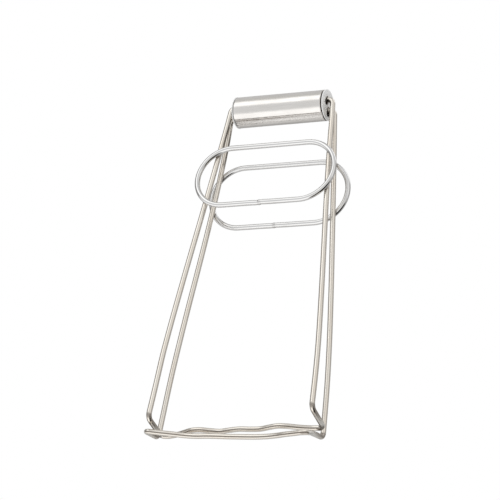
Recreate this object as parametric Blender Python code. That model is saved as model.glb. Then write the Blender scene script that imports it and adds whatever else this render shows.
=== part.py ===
"""Wire dish tongs: a rolled sheet-steel barrel handle, two end caps, two bent-wire
frames that hinge in the caps, and a finger ring across the outside of each frame.

Lies in metres, +Z up (handle on top, jaws down), +X along the barrel, the front frame
on the -Y side. The scene's origin is near the bottom centre of the bounding box.
Sizes are in millimetres about the barrel's axis, until add_object converts them.
Each frame and its ring share an origin on that frame's hinge axis.
"""
import math
from typing import NamedTuple

import bmesh
import bpy
from mathutils import Matrix, Vector
from mathutils.geometry import tessellate_polygon

MM = 0.001
SCENE_ORIGIN = (-0.62, 0.83, -205.5)    # seen from the barrel's axis

# ---- barrel: one sheet rolled up, with its outer edge lapped over the inner one ----
BARREL_R = 8.9                  # outside of the sheet
BARREL_HALF = 27.1              # half length
BARREL_X = 0.2                  # x of the middle of the barrel and caps
SHEET_T = 0.5
LAP_GAP = 0.1                   # air between the two layers of the lap
LAP_EDGE_DEG = -123.5           # place of the outer edge (0 = +Y, 90 = +Z)
LAP_UNDER_DEG = 25.0            # how far the inner layer runs on under the outer one
JOGGLE_DEG = (325.0, 348.0)     # turn from the outer edge over which the sheet steps inwards
SHEET_STEP_DEG = 5.0

# ---- wire ----
WIRE_R = 1.5                    # every frame and ring wire
WIRE_SIDES = 12

# ---- end caps: thin discs with a short hollow boss inside the barrel ----
CAP_R = 9.1
CAP_T = 0.6
CAP_FACE_X = 28.0               # outer flat face, from the barrel's middle
CAP_EDGE = 0.2                  # rounding of the outer rim
CAP_EDGE_MID = 0.29             # inset of the rounding's middle, as a share of CAP_EDGE
CAP_SEGS = 48
BOSS_R = 7.5
BOSS_WALL = 0.5
BOSS_DEPTH = 2.0
SLOT_R = WIRE_R + 0.2           # half width of a hinge slot: wire and clearance
SLOT_END_SEGS = 6

# ---- frames ----
PIN_IN = 9.0                    # pin length inside the cap's face
LEG = 196.0                     # nominal leg length, hinge axis to lower bend
LEG_HALF = 49.0                 # distance from the middle at which the twist is given
TOP_BEND_R = 4.4
LOWER_BEND_R = 4.0
LIP_CORNER_R = 3.0
BAR_STEPS = 2                   # curve steps between two points of a lip bar
LEG_SHARES = (0, 0.06, 0.12, 0.2, 0.3, 0.4, 0.5, 0.6, 0.7, 0.8, 0.87, 0.94, 1.0)  # of leg_xs
LEG_STATIONS = (0.06, 0.12, 0.2, 0.3, 0.4, 0.5, 0.6, 0.7, 0.8, 0.88, 0.94)  # path points
SWELL_SCALE = 6.75              # brings the peak of t * (1 - t)^2 to 1

# ---- bend rounding ----
BEND_STEP_DEG = 15.0
SHARP_TURN_DEG = 3.0            # smaller turns are left unrounded
BEND_SHARE = 0.46               # most of a neighbouring straight that a bend may use

# ---- finger rings: stadium loops, sizes to the wire's centre ----
RING_W = 83.4
RING_H = 37.3
RING_DOWN = 48.4                # hinge axis to ring centre, along the leg
RING_OFF = 3.32                 # ring wire centre outside the leg wire centre
RING_CROSSING = 0.9             # height at which legs cross the ring, as a share of its end radius
RING_ARC_SEGS = 12

# ---- finishes ----
BARREL_STEEL = dict(rgb=(0.80, 0.80, 0.79), roughness=0.30)
CAP_STEEL = dict(rgb=(0.70, 0.71, 0.71), roughness=0.45)
WIRE_NICKEL = dict(rgb=(0.72, 0.69, 0.65), roughness=0.25)
RING_CHROME = dict(rgb=(0.82, 0.83, 0.84), roughness=0.12)


class Tong(NamedTuple):
    """One frame's sizes. Its own directions are x, down the leg, and outwards.

    Pairs are (left, right), left being -X.
    """
    name: str
    side: int               # -1 leans to -Y, 1 to +Y
    pivot: tuple            # hinge axis (y, z)
    slot_end: tuple         # centre of the cap slot's other end (y, z)
    lean_deg: float         # leg's lean from vertical
    belly: float            # greatest outward swell of the legs
    twist: float            # right leg stands out and left leg in, at the lower bend
    ring_shift: float       # x of the ring's centre
    leg_xs: tuple           # x of each leg at LEG_SHARES
    bend_downs: tuple       # distance down to each lower bend
    lip_corners: tuple      # (x, distance down, distance inwards)
    lip_bar: tuple          # wavy bar between the corners, same columns

    @property
    def origin(self):
        return Vector((0, *self.pivot))

    @property
    def down(self):
        lean = math.radians(self.lean_deg)
        return Vector((0, self.side * math.sin(lean), -math.cos(lean)))

    @property
    def out(self):
        lean = math.radians(self.lean_deg)
        return Vector((0, self.side * math.cos(lean), math.sin(lean)))

    def swell(self, share):
        return SWELL_SCALE * self.belly * share * (1 - share) ** 2

    def place(self, x, down, out):
        """Point in the tong's flat plane, or `out` from it."""
        return self.origin + Vector((x, 0, 0)) + self.down * down + self.out * out

    def leg_point(self, x, down, inward=0.0):
        """Point that follows the legs' swell and twist."""
        share = min(1.0, down / LEG)
        return self.place(x, down, self.swell(share) + self.twist * share * x / LEG_HALF - inward)


FRONT_PIVOT = (-1.7, 2.6)

FRONT = Tong(
    name="front", side=-1,
    pivot=FRONT_PIVOT, slot_end=(-2.4, 0.6),
    lean_deg=2.4, belly=0.5, twist=0.6, ring_shift=-1.1,
    leg_xs=(
        (-31.24, -32.08, -33.1, -34.52, -36.46, -38.53, -40.64,
         -42.7, -44.65, -46.35, -47.05, -47.75, -48.45),
        (31.4, 32.72, 33.64, 34.98, 36.83, 38.81, 40.84,
         42.82, 44.72, 46.45, 47.4, 48.1, 48.6)),
    bend_downs=(196.7, 195.3),
    lip_corners=((-47.15, 200.07, 16.3), (49.49, 199.09, 17.2)),
    lip_bar=(
        (-42.5, 200.26, 16.41), (-38.5, 200.4, 15.35), (-34.5, 200.52, 13.8),
        (-30.5, 200.54, 12.03), (-26, 200.43, 10.46), (-21, 200.37, 10.37),
        (-16, 200.56, 11.5), (-10, 200.74, 12.65), (-4, 200.53, 12.05),
        (2, 200.37, 11.63), (8, 200.43, 12.26), (14, 200.42, 12.51),
        (20, 200.11, 11.49), (25, 199.9, 10.82), (30, 199.92, 11.56),
        (35, 199.82, 13.44), (39.5, 199.58, 15.18), (43, 199.36, 16.28)))

REAR = Tong(
    name="rear", side=1,
    pivot=(-FRONT_PIVOT[0], -FRONT_PIVOT[1]), slot_end=(1.55, -4.9),
    lean_deg=2.75, belly=2.1, twist=1.0, ring_shift=1.4,
    leg_xs=(
        (-32.32, -33.09, -34.07, -35.51, -37.5, -39.61, -41.81,
         -43.98, -45.95, -47.75, -48.78, -49.72, -50.6),
        (31.8, 32.66, 33.62, 34.9, 36.65, 38.45, 40.36,
         42.22, 43.98, 45.45, 46.2, 46.7, 47.05)),
    bend_downs=(195.0, 197.9),
    lip_corners=((-50.57, 197.41, 16.6), (46.64, 200.98, 16.6)),
    lip_bar=(
        (-45, 197.83, 15.26), (-40, 198.16, 14.31), (-34, 198.57, 13.13),
        (-28, 198.98, 11.95), (-22, 199.28, 11.5), (-16, 199.47, 11.68),
        (-10, 199.7, 11.59), (-4, 199.98, 11.26), (2, 200.21, 11.17),
        (8, 200.44, 11.11), (14, 200.65, 11.2), (20, 200.79, 11.7),
        (26, 200.83, 12.79), (31, 200.81, 14.05), (36, 200.83, 15.06),
        (41, 200.85, 16.13)))

TONGS = (FRONT, REAR)


# ---- scene ----------------------------------------------------------------------
def clear_scene():
    for obj in list(bpy.data.objects):
        bpy.data.objects.remove(obj, do_unlink=True)
    for mesh in list(bpy.data.meshes):
        bpy.data.meshes.remove(mesh)
    for mat in list(bpy.data.materials):
        bpy.data.materials.remove(mat)


def metal(name, rgb, roughness):
    mat = bpy.data.materials.new(name)
    mat.use_nodes = True
    inputs = mat.node_tree.nodes["Principled BSDF"].inputs
    inputs["Base Color"].default_value = (*rgb, 1.0)
    inputs["Metallic"].default_value = 1.0
    inputs["Roughness"].default_value = roughness
    return mat


def add_object(name, verts, faces, mat, origin=(0, 0, 0), smooth_deg=40.0):
    """Make an object from verts and an origin in mm about the barrel's axis."""
    origin = Vector(origin)
    mesh = bpy.data.meshes.new(name)
    mesh.from_pydata([tuple((Vector(v) - origin) * MM) for v in verts], [], faces)
    bm = bmesh.new()
    bm.from_mesh(mesh)
    bmesh.ops.remove_doubles(bm, verts=bm.verts, dist=1e-7)
    bmesh.ops.recalc_face_normals(bm, faces=bm.faces)
    for face in bm.faces:
        face.smooth = True
    for edge in bm.edges:
        edge.smooth = (len(edge.link_faces) == 2
                       and edge.calc_face_angle(0.0) < math.radians(smooth_deg))
    bm.to_mesh(mesh)
    bm.free()
    mesh.materials.append(mat)
    obj = bpy.data.objects.new(name, mesh)
    bpy.context.scene.collection.objects.link(obj)
    obj.location = (origin - Vector(SCENE_ORIGIN)) * MM


# ---- curves ---------------------------------------------------------------------
def smoothstep(t):
    t = min(1.0, max(0.0, t))
    return t * t * (3 - 2 * t)


def arc_points(before, corner, after, radius):
    """Points of the arc that rounds one corner, or the corner itself."""
    back, ahead = before - corner, after - corner
    back_len, ahead_len = back.length, ahead.length
    back.normalize()
    ahead.normalize()
    angle = back.angle(ahead)
    turn = math.pi - angle
    if radius <= 0 or turn < math.radians(SHARP_TURN_DEG):
        return [corner]
    # the radius shrinks where the neighbouring straights are short
    cut = min(radius * math.tan(turn / 2), BEND_SHARE * back_len, BEND_SHARE * ahead_len)
    radius = cut / math.tan(turn / 2)
    centre = corner + (back + ahead).normalized() * (radius / math.sin(angle / 2))
    start = (corner + back * cut - centre) / radius
    axis = start.cross((corner + ahead * cut - centre) / radius).normalized()
    across = axis.cross(start)
    steps = max(2, math.ceil(turn / math.radians(BEND_STEP_DEG)))
    angles = [turn * k / steps for k in range(steps + 1)]
    return [centre + (start * math.cos(a) + across * math.sin(a)) * radius for a in angles]


def rounded_path(corners):
    """Polyline through (point, bend radius) pairs, with its bends rounded."""
    path = [corners[0][0]]
    for (before, _), (corner, radius), (after, _) in zip(corners, corners[1:], corners[2:]):
        path += arc_points(before, corner, after, radius)
    return path + [corners[-1][0]]


def catmull_rom(points, steps):
    """Smooth curve through the points, with both ends extended in a straight line."""
    points = ([points[0] * 2 - points[1]] + points + [points[-1] * 2 - points[-2]])
    curve = []
    for p0, p1, p2, p3 in zip(points, points[1:], points[2:], points[3:]):
        for k in range(steps):
            t = k / steps
            curve.append(0.5 * ((2 * p1) + (p2 - p0) * t
                                + (2 * p0 - 5 * p1 + 4 * p2 - p3) * t * t
                                + (3 * p1 - p0 - 3 * p2 + p3) * t ** 3))
    return curve + [points[-2]]


# ---- round wire -----------------------------------------------------------------
def path_tangents(path, closed):
    count = len(path)
    if closed:
        return [(path[(i + 1) % count] - path[i - 1]).normalized() for i in range(count)]
    steps = [(b - a).normalized() for a, b in zip(path, path[1:])]
    inner = [(b + a).normalized() for a, b in zip(steps, steps[1:])]
    return [steps[0]] + inner + [steps[-1]]


def square_to(vector, tangent):
    """The vector's part square to the tangent, at unit length."""
    return (vector - tangent * vector.dot(tangent)).normalized()


def section_axes(tangents, closed):
    """Two axes of the wire's section at each point, carried along with little turning."""
    side = Vector((0, 1, 0))
    axes = []
    for tangent in tangents:
        side = square_to(side, tangent)
        axes.append((side, tangent.cross(side)))
    if not closed:
        return axes
    # spread the turn left over at the join round the loop
    first = axes[0][0]
    carried = square_to(side, tangents[0])
    left_over = math.atan2(tangents[0].dot(carried.cross(first)), carried.dot(first))
    turned = []
    for i, ((a, b), tangent) in enumerate(zip(axes, tangents)):
        turn = Matrix.Rotation(left_over * i / len(axes), 3, tangent)
        turned.append((turn @ a, turn @ b))
    return turned


def wire(path, closed=False):
    """Round wire along a path, with flat ends, or joined end to end."""
    count = len(path)
    verts = []
    for i, (a, b) in enumerate(section_axes(path_tangents(path, closed), closed)):
        # widen the section at a bend, so the wire keeps its thickness
        bend_axis = None
        if closed or 0 < i < count - 1:
            arrive = (path[i] - path[i - 1]).normalized()
            leave = (path[(i + 1) % count] - path[i]).normalized()
            cos_half_turn = math.sqrt((1 + arrive.dot(leave)) / 2)
            if cos_half_turn < 0.9999:
                bend_axis = (leave - arrive).normalized()
        for k in range(WIRE_SIDES):
            angle = 2 * math.pi * k / WIRE_SIDES
            offset = (a * math.cos(angle) + b * math.sin(angle)) * WIRE_R
            if bend_axis is not None:
                offset += bend_axis * (offset.dot(bend_axis) * (1 / cos_half_turn - 1))
            verts.append(path[i] + offset)
    faces = []
    for i in range(count if closed else count - 1):
        here, there = i * WIRE_SIDES, (i + 1) % count * WIRE_SIDES
        for k in range(WIRE_SIDES):
            m = (k + 1) % WIRE_SIDES
            faces.append((here + k, here + m, there + m, there + k))
    if not closed:
        faces.append(tuple(reversed(range(WIRE_SIDES))))
        faces.append(tuple((count - 1) * WIRE_SIDES + k for k in range(WIRE_SIDES)))
    return verts, faces


# ---- barrel ---------------------------------------------------------------------
def add_barrel():
    total_turn = 360.0 + LAP_UNDER_DEG
    steps = round(total_turn / SHEET_STEP_DEG)
    joggle_start, joggle_end = JOGGLE_DEG
    outer, inner = [], []
    for k in range(steps + 1):
        turn = total_turn * k / steps
        joggle = smoothstep((turn - joggle_start) / (joggle_end - joggle_start))
        radius = BARREL_R - joggle * (SHEET_T + LAP_GAP)
        angle = math.radians(LAP_EDGE_DEG - turn)
        for outline, r in ((outer, radius), (inner, radius - SHEET_T)):
            outline.append((r * math.cos(angle), r * math.sin(angle)))
    loop = outer + inner[::-1]
    count = len(loop)
    verts = [(BARREL_X + x, y, z) for x in (-BARREL_HALF, BARREL_HALF) for y, z in loop]
    faces = [(i, (i + 1) % count, count + (i + 1) % count, count + i) for i in range(count)]
    # the sheet's thickness at the barrel's two ends
    for i in range(steps):
        j = count - 1 - i
        faces.append((i, i + 1, j - 1, j))
        faces.append((count + i, count + j, count + j - 1, count + i + 1))
    add_object("handle_barrel", verts, faces, metal("barrel_steel", **BARREL_STEEL))


# ---- end caps -------------------------------------------------------------------
def circle_outline(radius):
    angles = [2 * math.pi * k / CAP_SEGS for k in range(CAP_SEGS)]
    return [(radius * math.cos(a), radius * math.sin(a)) for a in angles]


def slot_outline(start, end):
    """Round-ended slot between two centres, as (y, z)."""
    heading = math.atan2(end[1] - start[1], end[0] - start[0])
    outline = []
    for (y, z), first_deg in ((end, -90.0), (start, 90.0)):
        for k in range(SLOT_END_SEGS + 1):
            angle = heading + math.radians(first_deg + 180.0 * k / SLOT_END_SEGS)
            outline.append((y + SLOT_R * math.cos(angle), z + SLOT_R * math.sin(angle)))
    return outline


def add_cap(name, side, mat):
    """Disc, boss and two through slots; side is -1 for left, 1 for right."""
    verts, faces = [], []

    def add_loop(x, outline):
        base = len(verts)
        verts.extend((BARREL_X + side * x, y, z) for y, z in outline)
        return list(range(base, len(verts)))

    def add_wall(a, b):
        for k in range(len(a)):
            j = (k + 1) % len(a)
            faces.append((a[k], a[j], b[j], b[k]))

    def add_plate(loops):
        """Flat face inside the first loop, with the other loops as holes."""
        outlines = [[Vector((*verts[i][1:], 0)) for i in loop] for loop in loops]
        indices = [i for loop in loops for i in loop]
        for triangle in tessellate_polygon(outlines):
            faces.append(tuple(indices[i] for i in triangle))

    back_x = CAP_FACE_X - CAP_T
    boss_x = back_x - BOSS_DEPTH
    boss_inner_r = BOSS_R - BOSS_WALL
    edge_mid = CAP_EDGE * CAP_EDGE_MID
    # (x, radius) from the outer face round the rim and boss to the boss's floor
    profile = (
        (CAP_FACE_X, CAP_R - CAP_EDGE),
        (CAP_FACE_X - edge_mid, CAP_R - edge_mid),
        (CAP_FACE_X - CAP_EDGE, CAP_R),
        (back_x, CAP_R),
        (back_x, BOSS_R),
        (boss_x, BOSS_R),
        (boss_x, boss_inner_r),
        (back_x, boss_inner_r),
    )
    rings = [add_loop(x, circle_outline(radius)) for x, radius in profile]
    slots = [slot_outline(tong.pivot, tong.slot_end) for tong in TONGS]
    face_slots = [add_loop(CAP_FACE_X, slot) for slot in slots]
    floor_slots = [add_loop(back_x, slot) for slot in slots]
    for a, b in [*zip(rings, rings[1:]), *zip(face_slots, floor_slots)]:
        add_wall(a, b)
    add_plate([rings[0]] + face_slots)
    add_plate([rings[-1]] + floor_slots)
    add_object(name, verts, faces, mat)


# ---- frames ---------------------------------------------------------------------
def leg_x(xs, share):
    """x of a leg at a share of its length: a cubic Hermite curve through its table."""
    last = len(LEG_SHARES) - 1
    i = max(j for j in range(last) if LEG_SHARES[j] <= share)

    def slope(j):
        a, b = max(j - 1, 0), min(j + 1, last)
        return (xs[b] - xs[a]) / (LEG_SHARES[b] - LEG_SHARES[a])

    span = LEG_SHARES[i + 1] - LEG_SHARES[i]
    t = (share - LEG_SHARES[i]) / span
    return ((1 + 2 * t) * (1 - t) ** 2 * xs[i] + t * (1 - t) ** 2 * span * slope(i)
            + t * t * (3 - 2 * t) * xs[i + 1] + t * t * (t - 1) * span * slope(i + 1))


def leg_corners(tong, index):
    """(point, bend radius) pairs from the hinge pin to the lip corner; index 0 is left."""
    xs, bend_down = tong.leg_xs[index], tong.bend_downs[index]
    side = (-1, 1)[index]
    pin_x = BARREL_X + side * (CAP_FACE_X - PIN_IN)
    return [
        (tong.leg_point(pin_x, 0), 0.0),
        (tong.leg_point(xs[0], 0), TOP_BEND_R),
        *((tong.leg_point(leg_x(xs, share), bend_down * share), 0.0) for share in LEG_STATIONS),
        (tong.leg_point(xs[-1], bend_down), LOWER_BEND_R),
        (tong.leg_point(*tong.lip_corners[index]), LIP_CORNER_R),
    ]


def add_frame(tong):
    bar = catmull_rom([tong.leg_point(*row) for row in tong.lip_bar], BAR_STEPS)
    left, right = leg_corners(tong, 0), leg_corners(tong, 1)
    path = rounded_path(left + [(point, 0.0) for point in bar] + right[::-1])
    mat = metal(tong.name + "_wire_nickel", **WIRE_NICKEL)
    add_object(tong.name + "_frame", *wire(path), mat, tong.origin, smooth_deg=50.0)


# ---- finger rings ---------------------------------------------------------------
def add_ring(tong):
    end_r = RING_H / 2
    straight_half = RING_W / 2 - end_r
    # the ring's plane follows the legs' swell between the upper and lower crossings
    upper = RING_DOWN - end_r * RING_CROSSING
    lower = RING_DOWN + end_r * RING_CROSSING
    upper_swell, lower_swell = tong.swell(upper / LEG), tong.swell(lower / LEG)
    twist = tong.twist * RING_DOWN / LEG
    path = []
    for side, first_angle in ((1, -math.pi / 2), (-1, math.pi / 2)):
        for k in range(RING_ARC_SEGS + 1):
            angle = first_angle + math.pi * k / RING_ARC_SEGS
            x = tong.ring_shift + side * straight_half + end_r * math.cos(angle)
            down = RING_DOWN + end_r * math.sin(angle)
            swell = upper_swell + (lower_swell - upper_swell) * (down - upper) / (lower - upper)
            path.append(tong.place(x, down, RING_OFF + swell + twist * x / LEG_HALF))
    mat = metal(tong.name + "_ring_chrome", **RING_CHROME)
    add_object(tong.name + "_ring", *wire(path, closed=True), mat, tong.origin, smooth_deg=50.0)


def build():
    clear_scene()
    add_barrel()
    for name, side in (("left", -1), ("right", 1)):
        add_cap("end_cap_" + name, side, metal(f"cap_{name}_steel", **CAP_STEEL))
    for tong in TONGS:
        add_frame(tong)
        add_ring(tong)


build()
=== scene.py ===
"""Wire dish tongs: a rolled sheet barrel with a cap at each end, and two wire frames hung
from the caps. Each frame has a finger ring welded to its outside and a wavy jaw bar below.

Row frame: metres, +Z up, +X along the barrel, the front frame on the -Y side. Left is -X.
Sizes and helpers are in millimetres about the barrel's axis; add_piece() brings them into
the row frame.
"""
import math
import random
from dataclasses import dataclass

import bmesh
import bpy
import numpy as np
from mathutils import Matrix, Vector, noise
from mathutils.geometry import tessellate_polygon


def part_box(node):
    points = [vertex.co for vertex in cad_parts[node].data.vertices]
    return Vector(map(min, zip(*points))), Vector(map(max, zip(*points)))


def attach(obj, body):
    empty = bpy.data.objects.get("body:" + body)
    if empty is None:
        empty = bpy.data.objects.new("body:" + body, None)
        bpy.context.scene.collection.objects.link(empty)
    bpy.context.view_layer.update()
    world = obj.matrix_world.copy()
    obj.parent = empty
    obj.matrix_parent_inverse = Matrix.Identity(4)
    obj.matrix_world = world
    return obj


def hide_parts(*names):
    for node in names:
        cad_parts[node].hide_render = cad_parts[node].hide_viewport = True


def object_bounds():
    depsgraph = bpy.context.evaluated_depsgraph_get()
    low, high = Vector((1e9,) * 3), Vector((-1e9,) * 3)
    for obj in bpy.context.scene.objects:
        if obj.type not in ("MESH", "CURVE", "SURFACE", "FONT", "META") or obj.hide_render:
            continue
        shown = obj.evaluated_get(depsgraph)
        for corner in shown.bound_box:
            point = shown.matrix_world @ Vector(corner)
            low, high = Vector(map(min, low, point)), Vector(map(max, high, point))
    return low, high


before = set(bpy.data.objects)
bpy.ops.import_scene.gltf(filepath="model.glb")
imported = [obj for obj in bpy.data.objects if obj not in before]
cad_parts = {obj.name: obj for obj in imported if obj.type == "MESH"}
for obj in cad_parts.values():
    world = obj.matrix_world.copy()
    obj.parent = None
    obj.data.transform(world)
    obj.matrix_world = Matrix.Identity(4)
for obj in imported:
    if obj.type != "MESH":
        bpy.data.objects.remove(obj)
cad_lo, cad_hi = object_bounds()

MM = 0.001
SEED = 7                          # for the weld beads' lumps
LEFT, RIGHT = 0, 1                # places in the (left, right) pairs

# ---- sizes, mm ---------------------------------------------------------------------
WIRE_R, WIRE_SIDES = 1.5, 28
WIRE_END_ROUND = 0.35             # worn edge of a cut wire end

BARREL_R, SHEET_T, LAP_GAP = 8.9, 0.5, 0.1
LAP_EDGE_DEG, LAP_UNDER_DEG = -125.0, 25.0
JOGGLE_DEG = (325.0, 348.0)       # turn over which the sheet steps in under its own edge
BARREL_X = 0.2                    # middle of the barrel
SLEEVE_ENDS = (-27.06, 26.72)     # the sheet's ends, from the barrel's middle

CAP_R, CAP_T, CAP_FACE_X = 9.1, 0.6, 28.0
BOSS_R, BOSS_WALL, BOSS_DEPTH = 7.5, 0.5, 2.0
SLOT_R = 2.05
FRONT_PIVOT, REAR_PIVOT = (-1.7, 2.6), (1.7, -2.6)
# centres of each cap slot's two round ends: y, z
SLOTS = ((FRONT_PIVOT, (-2.7, 0.9)), (REAR_PIVOT, (1.5, -4.6)))

PIN_IN, TOP_BEND_R = 9.0, 6.2     # wire's reach inside the cap face; bend at the leg's top
LEG, LEG_HALF = 196.0, 49.0       # leg length and half spread, for the belly and the twist
BEND_R, CORNER_R = 4.0, 3.0       # leg to lip, lip to jaw bar
RING_W, RING_H, RING_DOWN, RING_OUT = 83.4, 37.3, 48.4, 3.32
RING_END_R = RING_H / 2
RING_STRAIGHT = RING_W / 2 - RING_END_R     # half length of the ring's straight sides

VIEW_SIDE = Vector((0.406, -0.803, -0.436))     # the side the tongs are mostly seen from

# the barrel's axis in the row frame: the right cap's disc is centred on it
cap_lo, cap_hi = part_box("end_cap_right")
AXIS = (cap_hi.x - (BARREL_X + CAP_FACE_X) * MM,
        (cap_lo.y + cap_hi.y) / 2,
        (cap_lo.z + cap_hi.z) / 2)


def row(point):
    return Vector([c * MM + a for c, a in zip(point, AXIS)])


# ---- easing ------------------------------------------------------------------------
def smooth01(t):
    t = min(1.0, max(0.0, t))
    return t * t * (3 - 2 * t)


def rise(value, start, over):
    return smooth01((value - start) / over)


def fall(value, start, over):
    return 1 - rise(value, start, over)


def band(value, lo, hi, soft):
    """1 between lo and hi, with soft sides centred on them."""
    return smooth01((value - lo) / soft + 0.5) * (1 - smooth01((value - hi) / soft + 0.5))


def bell(value, width):
    return math.exp(-(value / width) ** 2)


def near(spots, point, full, gone):
    """1 within full of any spot, 0 beyond gone."""
    return fall(min((point - spot).length for spot in spots), full, gone - full)


# ---- mesh helpers ------------------------------------------------------------------
def add_piece(name, verts, faces, mat, body, attrs, sharp_deg, replaces=()):
    """Adds a mesh. attrs: {name: one float or one 3-vector for each vertex}."""
    me = bpy.data.meshes.new(name)
    me.from_pydata([tuple(row(v)) for v in verts], [], faces)
    for key, values in attrs.items():
        if isinstance(values[0], (int, float)):
            attribute = me.attributes.new(key, "FLOAT", "POINT")
            attribute.data.foreach_set("value", np.array(values, np.float32))
        else:
            attribute = me.attributes.new(key, "FLOAT_VECTOR", "POINT")
            attribute.data.foreach_set("vector", np.array(values, np.float32).ravel())
    bm = bmesh.new()
    bm.from_mesh(me)
    bmesh.ops.recalc_face_normals(bm, faces=bm.faces)
    limit = math.radians(sharp_deg)
    for face in bm.faces:
        face.smooth = True
    for edge in bm.edges:
        edge.smooth = len(edge.link_faces) == 2 and edge.calc_face_angle(0.0) < limit
    bm.to_mesh(me)
    bm.free()
    me.materials.append(mat)
    ob = bpy.data.objects.new(name, me)
    bpy.context.scene.collection.objects.link(ob)
    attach(ob, body)
    if replaces:
        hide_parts(*replaces)


def ring_quads(rings, sides, closed=False):
    """Quads between successive rings of vertices; closed joins the last to the first."""
    faces = []
    for i in range(rings if closed else rings - 1):
        j = (i + 1) % rings
        for k in range(sides):
            q = (k + 1) % sides
            faces.append((i * sides + k, i * sides + q, j * sides + q, j * sides + k))
    return faces


def end_faces(rings, sides):
    return [tuple(reversed(range(sides))), tuple((rings - 1) * sides + k for k in range(sides))]


def fillet(points, radii, step_deg=5.0):
    """A polyline with its inner corners rounded."""
    out = [Vector(points[0])]
    for i in range(1, len(points) - 1):
        corner = Vector(points[i])
        back, ahead = Vector(points[i - 1]) - corner, Vector(points[i + 1]) - corner
        back_length, ahead_length = back.length, ahead.length
        back.normalize()
        ahead.normalize()
        angle = back.angle(ahead)
        turn = math.pi - angle
        radius = radii[i]
        if radius <= 0 or turn < math.radians(3.0):
            out.append(corner)
            continue
        # the arc takes up less than half of either side
        cut = min(radius * math.tan(turn / 2), 0.46 * back_length, 0.46 * ahead_length)
        radius = cut / math.tan(turn / 2)
        centre = corner + (back + ahead).normalized() * (radius / math.sin(angle / 2))
        start = (corner + back * cut - centre) / radius
        normal = start.cross((corner + ahead * cut - centre) / radius).normalized()
        across = normal.cross(start)
        n = max(2, math.ceil(turn / math.radians(step_deg)))
        for k in range(n + 1):
            f = turn * k / n
            out.append(centre + (start * math.cos(f) + across * math.sin(f)) * radius)
    out.append(Vector(points[-1]))
    return out


def curve_points(controls, per_span=8):
    """Catmull-Rom through the control points."""
    c = [Vector(p) for p in controls]
    c = [c[0] * 2 - c[1]] + c + [c[-1] * 2 - c[-2]]
    out = []
    for i in range(1, len(c) - 2):
        p0, p1, p2, p3 = c[i - 1:i + 3]
        for k in range(per_span):
            t = k / per_span
            out.append(0.5 * ((2 * p1) + (p2 - p0) * t + (2 * p0 - 5 * p1 + 4 * p2 - p3) * t * t
                              + (3 * p1 - p0 - 3 * p2 + p3) * t ** 3))
    out.append(c[-2])
    return out


def resample(path, step, closed=False):
    """Points along the path no further apart than step; its own points stay."""
    out = []
    n = len(path)
    for i in range(n if closed else n - 1):
        a, b = path[i], path[(i + 1) % n]
        m = max(1, math.ceil((b - a).length / step))
        out.extend(a.lerp(b, k / m) for k in range(m))
    if not closed:
        out.append(path[-1].copy())
    return out


def run_lengths(path):
    """Distance along the path to each of its points."""
    run = [0.0]
    for i in range(1, len(path)):
        run.append(run[-1] + (path[i] - path[i - 1]).length)
    return run


def wire_frames(path, tangents, closed):
    """Two directions across the wire at each point, carried along it without twist."""
    start = Vector((0, 1, 0))
    side = (start - tangents[0] * start.dot(tangents[0])).normalized()
    frames = []
    for i, tangent in enumerate(tangents):
        if i:
            side = side - tangent * side.dot(tangent)
            side.normalize()
        frames.append((side.copy(), tangent.cross(side)))
    if closed:
        # spread the mismatch at the closing point over the whole loop
        first = frames[0][0]
        carried = frames[-1][0] - tangents[0] * frames[-1][0].dot(tangents[0])
        carried.normalize()
        miss = math.atan2(tangents[0].dot(carried.cross(first)), carried.dot(first))
        for i, (a, b) in enumerate(frames):
            turn = Matrix.Rotation(miss * i / len(path), 3, tangents[i])
            frames[i] = (turn @ a, turn @ b)
    return frames


def tube(path, closed=False, radius_at=lambda angle, run: WIRE_R):
    """Round wire along a path. Returns verts, faces and, for each vertex, (cos, sin, run)
    with the run along the wire, and (outward, along the wire)."""
    n = len(path)
    run = run_lengths(path)
    tangents = []
    for i in range(n):
        ahead, behind = path[(i + 1) % n] - path[i], path[i] - path[i - 1]
        if not closed and i == 0:
            direction = ahead
        elif not closed and i == n - 1:
            direction = behind
        else:
            direction = ahead.normalized() + behind.normalized()
        tangents.append(direction.normalized())
    frames = wire_frames(path, tangents, closed)
    rings = [(path[i], *frames[i], 1.0, run[i]) for i in range(n)]   # centre, axes, scale, run
    if not closed:
        worn = WIRE_END_ROUND

        def end_rings(i, inward):
            return [(path[i] + inward * (worn * (1 - math.cos(math.pi / 2 * (1 - s)))), *frames[i],
                     1 - (worn / WIRE_R) * (1 - math.sin(math.pi / 2 * s)), run[i])
                    for s in (0.0, 0.35, 0.7)]

        head, tail = end_rings(0, tangents[0]), end_rings(-1, -tangents[-1])
        first = (path[0] + tangents[0] * worn, *frames[0], 1.0, worn)
        last = (path[-1] - tangents[-1] * worn, *frames[-1], 1.0, run[-1] - worn)
        inner = [r for r in rings[1:-1] if worn * 1.3 < r[4] < run[-1] - worn * 1.3]
        rings = head + [first] + inner + [last] + tail[::-1]
    verts, coords, directions = [], [], []
    for centre, a, b, scale, s in rings:
        along = a.cross(b)
        for k in range(WIRE_SIDES):
            f = 2 * math.pi * k / WIRE_SIDES
            outward = a * math.cos(f) + b * math.sin(f)
            verts.append(centre + outward * (radius_at(f, s) * scale))
            coords.append((math.cos(f), math.sin(f), s))
            directions.append((outward, along))
    faces = ring_quads(len(rings), WIRE_SIDES, closed)
    if not closed:
        faces += end_faces(len(rings), WIRE_SIDES)
    return verts, faces, coords, directions


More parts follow.
